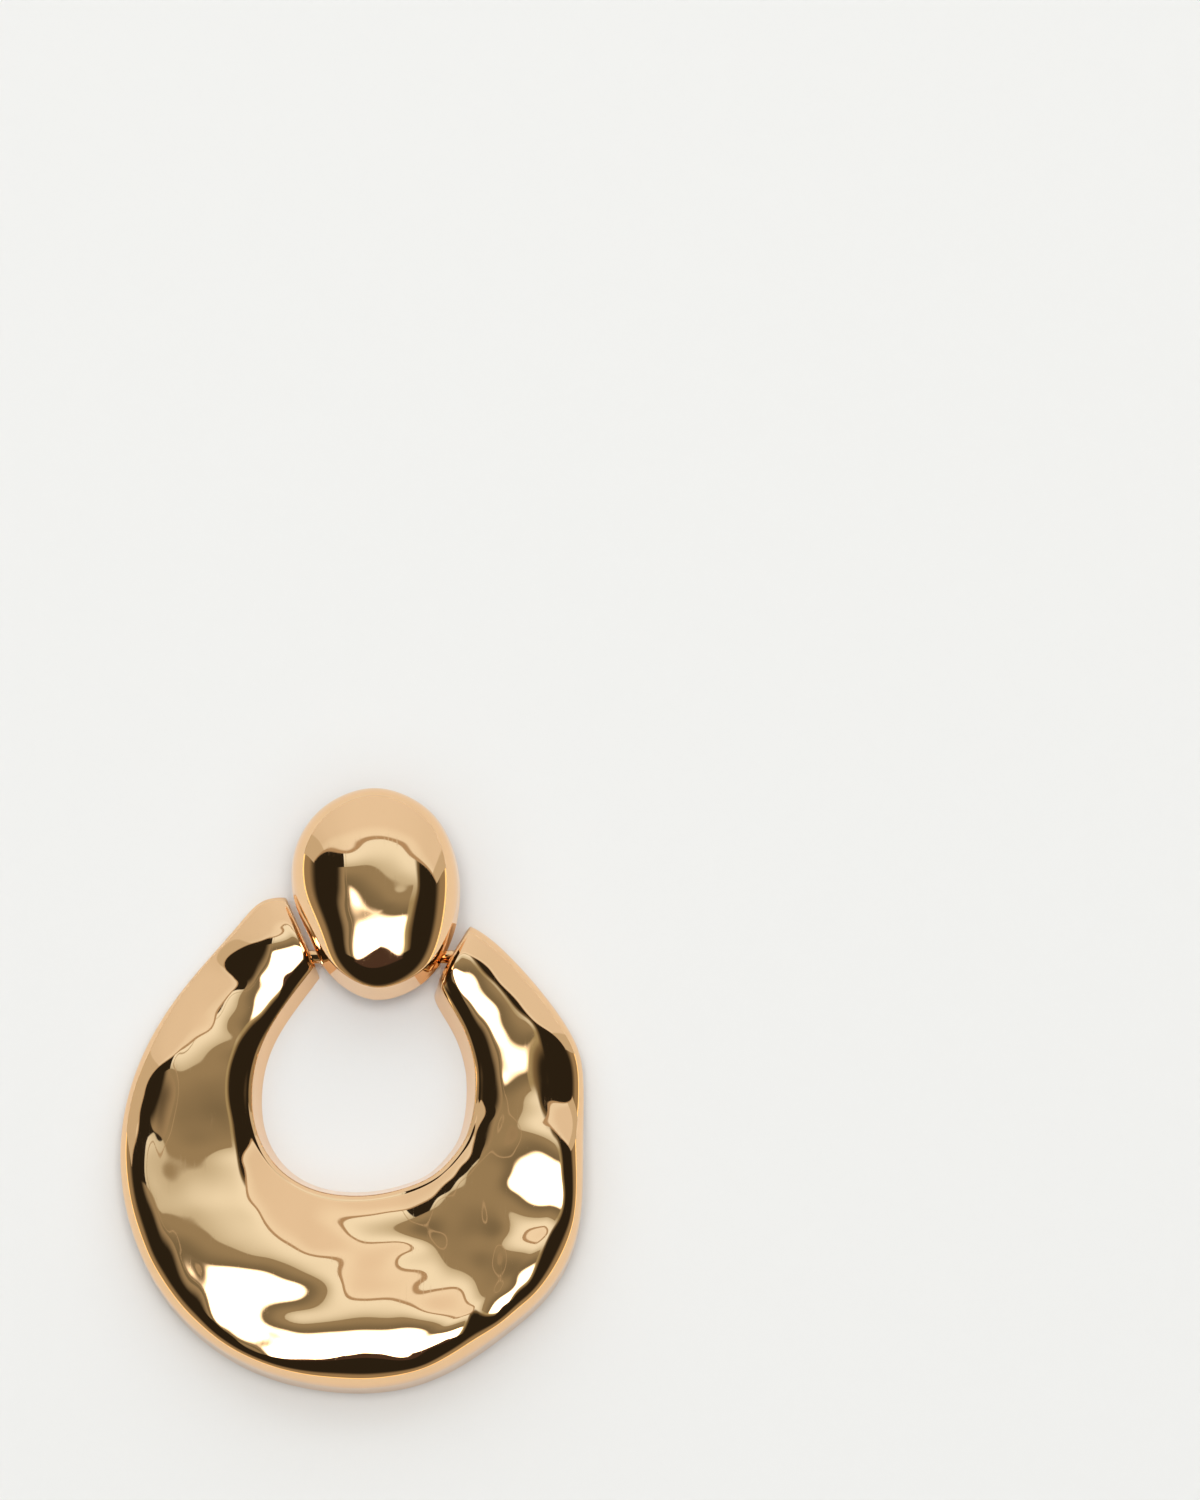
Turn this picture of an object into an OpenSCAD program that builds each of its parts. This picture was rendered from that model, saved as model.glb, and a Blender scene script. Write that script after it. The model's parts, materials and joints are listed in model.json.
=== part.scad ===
/* [Ring] */
// Width of the swinging ring
ring_w = 49.8; // [47:0.1:54]
// Length of the swinging ring along its fall
ring_l = 54.4; // [52:0.1:59]
// Greatest thickness of the ring
ring_t = 7.4; // [6.4:0.1:9]
// Width of the hole
hole_w = 22.1; // [20:0.1:24]
// Length of the hole
hole_l = 24.2; // [22.5:0.1:26]
// How far the crease stands back from the foot of the hole's wall
sill_draft = 0.95; // [0.4:0.05:1.4]
// Length over which the front rounds off towards the hole
in_reach = 3.2; // [2:0.1:4]
// Length over which the front rounds off towards the outer edge
out_reach = 3.8; // [2.4:0.1:4.6]
// Length over which the front rounds off towards each end face
end_reach = 1.2; // [0.8:0.1:2]
// Length over which one height of the face passes into the next
face_reach = 4; // [3:0.1:5]
/* [Ring tips] */
// Lean of the left end face from the fall line, in degrees
left_lean = 23; // [18:1:28]
// Lean of the right end face from the fall line, in degrees
right_lean = 29; // [24:1:33]
// Length of the left end face above the hinge line
left_high = 6.6; // [5.6:0.1:7.4]
// Length of the left end face below the hinge line
left_low = 1.9; // [1.7:0.1:2.6]
// Length of the right end face above the hinge line
right_high = 3.4; // [2.6:0.1:4.4]
// Length of the right end face below the hinge line
right_low = 3.3; // [2.4:0.1:3.8]
// Gap between the stud's edge and each end face
end_gap = 0.55; // [0.4:0.05:0.8]
/* [Stud] */
// Width of the stud
stud_w = 18.1; // [16.5:0.1:20]
// Length of the stud
stud_l = 23.4; // [22:0.1:26]
// Thickness of the stud, from its flat back to the top of its dome
stud_t = 5.6; // [4.6:0.1:7]
// How far the stud's middle lies to the right of the hole's middle
stud_x = 1.4; // [0.8:0.1:2]
// How far the stud's middle lies above the hinge line
stud_rise = 6.4; // [5.6:0.1:7.2]
// How far the crown of the stud lies below its middle
crown_drop = 3.1; // [2:0.1:4]
// Distance from the foot of the stud's wall to the crease above it, at its lower end
stud_inset = 0.7; // [0.4:0.05:1]
/* [Hinge] */
// Height of the hinge line above the middle of the hole
hinge_y = 13.1; // [12.6:0.1:13.8]
// Height of the hinge line above the ring's flat back
hinge_z = 2.6; // [2.3:0.1:2.8]
// Radius of the hinge pin
pin_r = 0.7; // [0.5:0.05:0.9]
// Depth to which the pin is seated in each end of the ring
pin_seat = 2; // [1.4:0.1:2.4]
// Clearance of the pin in its seats
seat_clear = 0.02; // [0.01:0.01:0.05]
// Running clearance of the pin in the barrel
pin_clear = 0.06; // [0.03:0.01:0.1]
// Wall of the barrel on the stud's back
barrel_wall = 0.5; // [0.4:0.05:0.6]
/* [Ear clip] */
// Room for the ear lobe between the paddle and the stud's back
lobe_gap = 4.3; // [4.2:0.1:5.5]
// Thickness of the clip's strip
clip_t = 0.8; // [0.6:0.05:1]
// Width of the clip's strip
clip_w = 5; // [4:0.1:6]
// Radius of the paddle's round end
paddle_r = 4; // [3:0.1:5]
// Length of the clip's foot on the stud's back
foot_l = 2.4; // [1.6:0.1:3]
/* [Hidden] */
// Sections of the ring, by their direction from the hole's middle
// angle from straight down, foot of the hole's wall, outer edge, height of the crease
RING_TABLE = [
    [-150, 0.97, 0.845, 0.72],
    [-140, 0.93, 0.815, 0.74],
    [-120, 0.925, 0.85, 0.76],
    [-100, 0.96, 0.94, 0.76],
    [-80, 1.005, 1.055, 0.8],
    [-60, 1.07, 1.155, 0.92],
    [-40, 1.085, 1.235, 0.97],
    [-20, 1.04, 1.26, 0.97],
    [0, 0.99, 1.245, 0.97],
    [15, 0.99, 1.225, 0.97],
    [30, 1.03, 1.175, 0.97],
    [40, 1.045, 1.17, 0.96],
    [50, 1.05, 1.135, 0.95],
    [60, 1.055, 1.065, 0.92],
    [75, 1.02, 0.97, 0.8],
    [90, 0.995, 0.946, 0.76],
    [100, 0.985, 0.925, 0.76],
    [115, 0.975, 0.845, 0.76],
    [130, 0.965, 0.795, 0.74],
    [140, 1, 0.775, 0.72]
];
// Heights of the ring's face, from the left tip round to the right one: place across and along as
// shares of its half width and half length, height as a share of its thickness
FACE_TABLE = [
    [-0.35, 0.64, 0.63], [-0.27, 0.5, 0.7], [-0.44, 0.45, 0.64], [-0.56, 0.5, 0.52],
    [-0.65, 0.28, 0.6], [-0.71, -0.12, 0.74], [-0.88, -0.4, 0.8], [-0.71, -0.47, 0.86],
    [-0.54, -0.72, 0.95], [-0.71, -0.82, 0.92], [-0.41, -1, 0.97], [0, -1, 1],
    [0.28, -1, 0.99], [0, -0.5, 0.56], [-0.15, -0.75, 0.79], [0.24, -0.75, 0.78],
    [-0.35, -0.38, 0.6], [0.37, -0.38, 0.6], [0.45, -0.55, 0.77], [0.65, -0.86, 0.97],
    [0.73, -0.38, 0.87], [0.84, -0.52, 0.86], [0.65, 0.08, 0.79], [0.78, 0.04, 0.73],
    [0.5, 0.32, 0.74], [0.37, 0.47, 0.72], [0.45, 0.48, 0.7], [0.67, 0.38, 0.64]
];
// Height of the crease at the ring's tips
TIP_CREASE = 0.72;
// Share of the face's height that is left at its outer edge and at its end faces
OUT_WALL = 0.53;
END_WALL = 0.8;
// Fullness of the rounding at the hole, at the outer edge and at the end faces
IN_BEND = 2.4;
OUT_BEND = [2.2, 2];
END_BEND = 2.5;
// Outline of the stud: across and along as shares of its half width and half length, height of the
// crease as a share of its thickness, and fullness of the dome above it
STUD_OUTLINE = [
    [0, -1, 0.75, 4], [0.6, -0.81, 0.7, 3.6], [0.9, -0.41, 0.5, 2.8], [0.99, 0, 0.2, 2.4],
    [0.91, 0.42, 0.1, 2.4], [0.61, 0.8, 0.1, 2.4], [0, 1, 0.1, 2.4], [-0.62, 0.83, 0.1, 2.4],
    [-0.97, 0.45, 0.1, 2.4], [-1, 0, 0.2, 2.4], [-0.8, -0.38, 0.5, 2.8], [-0.54, -0.77, 0.7, 3.6]
];
// Roundness of the stud's dome towards its edge
STUD_BEND = 2.4;
// Steps between two rows of a table, points across the ring's face, loops round the stud's dome
STEPS = 5;
FACE_POINTS = 16;
STUD_LOOPS = 10;
stud_back = clip_t + lobe_gap;
stud_y = hinge_y + stud_rise;
crown = [stud_x, stud_y - crown_drop];
barrel_r = pin_r + pin_clear + barrel_wall;

function catmull(a, b, c, d, t) =
    0.5 * (2 * b + (c - a) * t + (2 * a - 5 * b + 4 * c - d) * t * t + (3 * b - a - 3 * c + d) * t * t * t);

// Point of an ellipse's rim in a direction counted from straight down
function rim(w, l, angle) =
    let (r = 1 / sqrt(pow(2 * sin(angle) / w, 2) + pow(2 * cos(angle) / l, 2)))
    r * [sin(angle), -cos(angle)];

// The stud's outline as a smooth closed curve
stud_n = len(STUD_OUTLINE);
function stud_share(k) = STUD_OUTLINE[(k + stud_n) % stud_n];
stud_edge = [for (k = [0:stud_n - 1], s = [0:STEPS])
    if (s < STEPS)
        let (p = catmull(stud_share(k - 1), stud_share(k), stud_share(k + 1), stud_share(k + 2), s / STEPS))
        [stud_x + p[0] * stud_w / 2, stud_y + p[1] * stud_l / 2, p[2], p[3]]];
edge_n = len(stud_edge);

// Where the stud's edge crosses the hinge line, on the left and on the right
function crossings(side) = [for (k = [0:edge_n - 1])
    let (a = stud_edge[k], b = stud_edge[(k + 1) % edge_n])
    if ((a[1] - hinge_y) * (b[1] - hinge_y) <= 0 && a[1] != b[1])
        let (x = a[0] + (b[0] - a[0]) * (hinge_y - a[1]) / (b[1] - a[1]))
        if (side * (x - stud_x) > 0) x];
left_x = min(crossings(-1)) - end_gap;
right_x = max(crossings(1)) + end_gap;

// A section holds its foot at the hole, its outer foot and the share of its crease
function table_section(row) =
    let (a = row[1] * rim(hole_w, hole_l, row[0]), b = row[2] * rim(ring_w, ring_l, row[0]))
    [a[0], a[1], b[0], b[1], row[3]];
function end_section(x, side, lean, low, high) =
    [x - side * low * tan(lean), hinge_y - low, x + side * high * tan(lean), hinge_y + high, TIP_CREASE];
ring_rows = concat(
    [end_section(left_x, -1, left_lean, left_low, left_high)],
    [for (row = RING_TABLE) table_section(row)],
    [end_section(right_x, 1, right_lean, right_low, right_high)]);
last_row = len(ring_rows) - 1;
ring_sections = concat(
    [for (k = [0:last_row - 1], s = [0:STEPS - 1])
        catmull(ring_rows[max(k - 1, 0)], ring_rows[k], ring_rows[k + 1], ring_rows[min(k + 2, last_row)],
            s / STEPS)],
    [ring_rows[last_row]]);

function total(v, k = 0) = k == len(v) ? 0 : v[k] + total(v, k + 1);

// Height of the face at a place: the mean of the table's heights, the near ones counting most
function face_height(p) =
    let (near = [for (h = FACE_TABLE)
        let (q = [p[0] - h[0] * ring_w / 2, p[1] - h[1] * ring_l / 2] / face_reach)
        exp(-q * q / 2)])
    ring_t * total([for (k = [0:len(near) - 1]) near[k] * FACE_TABLE[k][2]]) / total(near);

// Distance of a place from the end face on its side
function end_distance(p) =
    let (
        side = p[0] < stud_x ? -1 : 1,
        lean = side < 0 ? left_lean : right_lean,
        x = side < 0 ? left_x : right_x)
    max(side * (p[0] - x) * cos(lean) - (p[1] - hinge_y) * sin(lean), 0);

// Share of the face's height at distances from the crease, from the outer edge and from an end face
function in_share(d, crease) = crease + (1 - crease) * (1 - pow(max(1 - d / in_reach, 0), IN_BEND));
function out_share(d) =
    let (u = min(max(1 - d / out_reach, 0), 1))
    OUT_WALL + (1 - OUT_WALL) * pow(1 - pow(u, OUT_BEND[0]), 1 / OUT_BEND[1]);
function end_share(d) =
    END_WALL + (1 - END_WALL) * pow(1 - pow(max(1 - d / end_reach, 0), END_BEND), 1 / END_BEND);

// Points of one section, from the foot of the hole's wall over the face to the outer foot
function section_points(s) =
    let (
        foot = [s[0], s[1]],
        edge = [s[2], s[3]],
        width = norm(edge - foot))
    concat(
        [[foot[0], foot[1], 0]],
        [for (k = [0:FACE_POINTS])
            let (
                t = k / FACE_POINTS,
                d = (width - sill_draft) * (t + (1 - cos(180 * t)) / 2) / 2,
                p = foot + (edge - foot) * (sill_draft + d) / width,
                share = in_share(d, s[4]) * out_share(width - sill_draft - d) * end_share(end_distance(p)))
            [p[0], p[1], share * face_height(p)]],
        [[edge[0], edge[1], 0]]);

// The whole piece is centred on its own outline
ring_feet = [for (s = ring_sections) [s[2], s[3]]];
ring_xs = [for (p = ring_feet) p[0]];
ring_ys = [for (p = ring_feet) p[1]];
stud_ys = [for (p = stud_edge) p[1]];
centre = [(min(ring_xs) + max(ring_xs)) / 2, (min(ring_ys) + max(stud_ys)) / 2];
echo(centre = centre, hinge = [stud_x, hinge_y, hinge_z] - [centre[0], centre[1], 0],
    ends = [left_x, right_x],
    size = [max(ring_xs) - min(ring_xs), max(stud_ys) - min(ring_ys), stud_back + stud_t]);

// A skin of triangles between rows of points, wound so that its faces point outwards
function grid_faces(rows, cols) = [for (i = [0:rows - 2], j = [0:cols - 1])
    let (a = i * cols + j, b = i * cols + (j + 1) % cols, c = a + cols, d = b + cols)
    each [[a, c, b], [b, c, d]]];
function cap_faces(start, cols, flip) = [for (j = [1:cols - 2])
    flip ? [start, start + j + 1, start + j] : [start, start + j, start + j + 1]];

module ring_body() {
    rows = [for (s = ring_sections) section_points(s)];
    cols = len(rows[0]);
    polyhedron(
        points = [for (r = rows) each r],
        faces = concat(
            grid_faces(len(rows), cols),
            cap_faces(0, cols, false),
            cap_faces((len(rows) - 1) * cols, cols, true)));
}

// One point of the stud's dome, on the line from the crown to a point of its outline
function dome_point(e, u) =
    let (
        out = [e[0], e[1]] - crown,
        inset = stud_inset * e[2] / STUD_OUTLINE[0][2],
        q = crown + out * (1 - inset / norm(out)) * u)
    [q[0], q[1], stud_back + stud_t * pow(1 - (1 - pow(e[2], STUD_BEND)) * pow(u, e[3]), 1 / STUD_BEND)];

module stud_dome() {
    rows = concat(
        [[for (e = stud_edge) [e[0], e[1], stud_back]]],
        [for (k = [0:STUD_LOOPS - 1]) [for (e = stud_edge) dome_point(e, cos(90 * k / STUD_LOOPS))]]);
    top = len(rows) * edge_n;
    polyhedron(
        points = concat([for (r = rows) each r], [[crown[0], crown[1], stud_back + stud_t]]),
        faces = concat(
            grid_faces(len(rows), edge_n),
            [for (j = [0:edge_n - 1]) [top - edge_n + (j + 1) % edge_n, top - edge_n + j, top]],
            cap_faces(0, edge_n, false)));
}

// A bar along the hinge line
module along_hinge(r, x0, x1) {
    translate([x0, hinge_y, hinge_z]) rotate([0, 90, 0]) cylinder(r = r, h = x1 - x0, $fn = 48);
}

barrel_x0 = left_x + barrel_r * tan(left_lean) + end_gap;
barrel_x1 = right_x - barrel_r * tan(right_lean) - end_gap;

module stud() {
    color("gold")
    translate([-centre[0], -centre[1], 0])
    difference() {
        union() {
            stud_dome();
            along_hinge(barrel_r, barrel_x0, barrel_x1);
            translate([barrel_x0, hinge_y - barrel_r, hinge_z])
                cube([barrel_x1 - barrel_x0, 2 * barrel_r, stud_back + clip_t / 2 - hinge_z]);
        }
        along_hinge(pin_r + pin_clear, left_x, right_x);
    }
}

module ring() {
    color("gold")
    translate([-centre[0], -centre[1], 0])
    difference() {
        ring_body();
        along_hinge(pin_r + seat_clear, left_x - pin_seat, right_x + pin_seat);
    }
}

module hinge_pin() {
    color("gold")
    translate([-centre[0], -centre[1], 0])
    along_hinge(pin_r, left_x - pin_seat + end_gap / 2, right_x + pin_seat - end_gap / 2);
}

module ear_clip() {
    leg_y = hinge_y + barrel_r + clip_t / 2;
    color("goldenrod")
    translate([stud_x - centre[0], -centre[1], 0])
    union() {
        translate([-clip_w / 2, leg_y, stud_back - clip_t]) cube([clip_w, clip_t + foot_l, clip_t]);
        translate([-clip_w / 2, leg_y, 0]) cube([clip_w, clip_t, stud_back]);
        translate([-clip_w / 2, leg_y, 0]) cube([clip_w, stud_y - leg_y, clip_t]);
        translate([0, stud_y, 0]) cylinder(r = paddle_r, h = clip_t, $fn = 48);
    }
}

stud();
ear_clip();
ring();
hinge_pin();
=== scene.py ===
import json
import math

import bmesh
import bpy
import numpy as np
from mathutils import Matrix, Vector


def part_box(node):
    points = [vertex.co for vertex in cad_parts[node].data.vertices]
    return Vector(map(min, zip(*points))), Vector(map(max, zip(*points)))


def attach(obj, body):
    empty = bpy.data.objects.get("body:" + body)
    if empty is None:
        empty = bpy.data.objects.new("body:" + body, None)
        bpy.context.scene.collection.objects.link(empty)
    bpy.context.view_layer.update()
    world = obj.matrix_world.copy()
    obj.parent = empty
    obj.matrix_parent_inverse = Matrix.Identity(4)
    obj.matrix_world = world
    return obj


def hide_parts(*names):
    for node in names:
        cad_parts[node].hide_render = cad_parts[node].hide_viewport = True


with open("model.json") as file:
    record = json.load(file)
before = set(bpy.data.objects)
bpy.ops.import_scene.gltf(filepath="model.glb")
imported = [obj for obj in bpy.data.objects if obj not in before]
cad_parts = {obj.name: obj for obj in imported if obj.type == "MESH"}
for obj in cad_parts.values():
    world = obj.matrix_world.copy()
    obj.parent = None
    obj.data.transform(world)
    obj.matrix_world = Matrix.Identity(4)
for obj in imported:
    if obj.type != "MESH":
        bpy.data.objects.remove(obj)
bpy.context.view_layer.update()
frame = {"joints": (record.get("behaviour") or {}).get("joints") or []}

# The ring is the broad open drop. It is formed from sheet, planished by hand over a stake into a
# soft uneven pillow with a flat back, and plated in polished gold. Its outline follows the part's
# own sections, and its face is bent until it mirrors what the real one seems to mirror.
MM = 0.001
ring_w, ring_l, ring_t = 49.8, 54.4, 7.4
hole_w, hole_l = 22.1, 24.2
sill_draft = 0.95
hinge_y, hinge_z = 13.1, 2.6
stud_x, stud_rise = 1.4, 6.4
stud_w, stud_l, stud_t = 18.1, 23.4, 5.6
stud_y = hinge_y + stud_rise
end_gap = 0.55
look_down = math.radians(80)
PHOTO_W, PHOTO_H = 1200, 1500
MM_PER_PIXEL = 0.1075
HOLE_PIXEL = (365, 1080)
joint = frame["joints"][0]
hole_middle = np.array(joint["pos_m"]) / MM - np.array([stud_x, hinge_y, hinge_z])

# angle from straight down, foot of the hole's wall, outer edge, height of the crease at the hole
RING_TABLE = [
    (-150, 0.97, 0.845, 0.72),
    (-140, 0.93, 0.815, 0.74),
    (-120, 0.925, 0.85, 0.76),
    (-100, 0.96, 0.94, 0.76),
    (-80, 1.005, 1.055, 0.8),
    (-60, 1.07, 1.155, 0.92),
    (-40, 1.085, 1.235, 0.97),
    (-20, 1.04, 1.26, 0.97),
    (0, 0.99, 1.245, 0.97),
    (15, 0.99, 1.225, 0.97),
    (30, 1.03, 1.175, 0.97),
    (40, 1.045, 1.17, 0.96),
    (50, 1.05, 1.135, 0.95),
    (60, 1.055, 1.065, 0.92),
    (75, 1.02, 0.97, 0.8),
    (90, 0.995, 0.946, 0.76),
    (100, 0.985, 0.925, 0.76),
    (115, 0.975, 0.845, 0.76),
    (130, 0.965, 0.795, 0.74),
    (140, 1, 0.775, 0.72),
]
# side, lean of the end face in degrees, its length above and below the hinge line
LEFT_END = (-1, 23, 6.6, 1.9)
RIGHT_END = (1, 29, 3.4, 3.3)
TIP_CREASE = 0.72
# reach of the rounding at the hole, at the outer edge and at the ends, and how full each is
IN_REACH, IN_BEND = 3.2, 2.4
OUT_REACH, OUT_BEND, OUT_WALL = 3.8, 2.2, 0.53
END_REACH, END_BEND, END_WALL = 1.2, 2.5, 0.8
# height and breadth of the fine bead that the burnisher leaves along the crease
BEAD, BEAD_W = 0.05, 0.18
# length over which a crease is rounded, what divides it for the start of the arc inside and
# below the crease, and the points of the arc and of the wall under it
SOFT_CREASE, ARC_IN, ARC_DOWN, ARC_POINTS = 0.16, 3, 5, 9
# places across the ring's face, how many of the last are doubled towards the outer edge, points
# down its outer side and across its back
RING_POINTS, EDGE_POINTS, SIDE_POINTS, BACK_POINTS = 110, 12, 8, 14
# steps between two rows of a table, over how many of them kinks are eased out, and how many
# times as far the easing looks
RING_STEPS, RING_EASE = 20, 8
STUD_STEPS, STUD_EASE = 24, 7
EASE_TAIL = 2.5
# the places of a ring's section that a reading may belong to: not its walls and their roundings
RING_FREE = slice(19, -12)
# rounds of solving the face, and how much less a reading counts where the section itself is steep
ROUNDS, STEEP = 2, 3
# how a twist of the sheet weighs against a bend, and the least area counted for a cell of a grid
TWIST, LEAST_AREA = 1.414, 1e-7
# farther than anything in the earring is, and from how many degrees on an edge stays sharp
FAR, SHARP = 1e3, 50
# heights of the face: across and along as shares of half the width and length, share of ring_t
FACE_TABLE = [
    (-0.35, 0.64, 0.63), (-0.27, 0.5, 0.7), (-0.44, 0.45, 0.64), (-0.56, 0.5, 0.52),
    (-0.65, 0.28, 0.6), (-0.71, -0.12, 0.74), (-0.88, -0.4, 0.8), (-0.71, -0.47, 0.86),
    (-0.54, -0.72, 0.95), (-0.71, -0.82, 0.92), (-0.41, -1, 0.97), (0, -1, 1),
    (0.28, -1, 0.99), (0, -0.5, 0.56), (-0.15, -0.75, 0.79), (0.24, -0.75, 0.78),
    (-0.35, -0.38, 0.6), (0.37, -0.38, 0.6), (0.45, -0.55, 0.77), (0.65, -0.86, 0.97),
    (0.73, -0.38, 0.87), (0.84, -0.52, 0.86), (0.65, 0.08, 0.79), (0.78, 0.04, 0.73),
    (0.5, 0.32, 0.74), (0.37, 0.47, 0.72), (0.45, 0.48, 0.7), (0.67, 0.38, 0.64),
]
# the stud's outline, across and along as shares of its half width and half length, the height of
# the crease over its wall, and the fullness of the dome above
STUD_OUTLINE = [
    (0, -1, 0.75, 4), (0.6, -0.81, 0.7, 3.6), (0.9, -0.41, 0.5, 2.8), (0.99, 0, 0.2, 2.4),
    (0.91, 0.42, 0.1, 2.4), (0.61, 0.8, 0.1, 2.4), (0, 1, 0.1, 2.4), (-0.62, 0.83, 0.1, 2.4),
    (-0.97, 0.45, 0.1, 2.4), (-1, 0, 0.2, 2.4), (-0.8, -0.38, 0.5, 2.8), (-0.54, -0.77, 0.7, 3.6),
]
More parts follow.
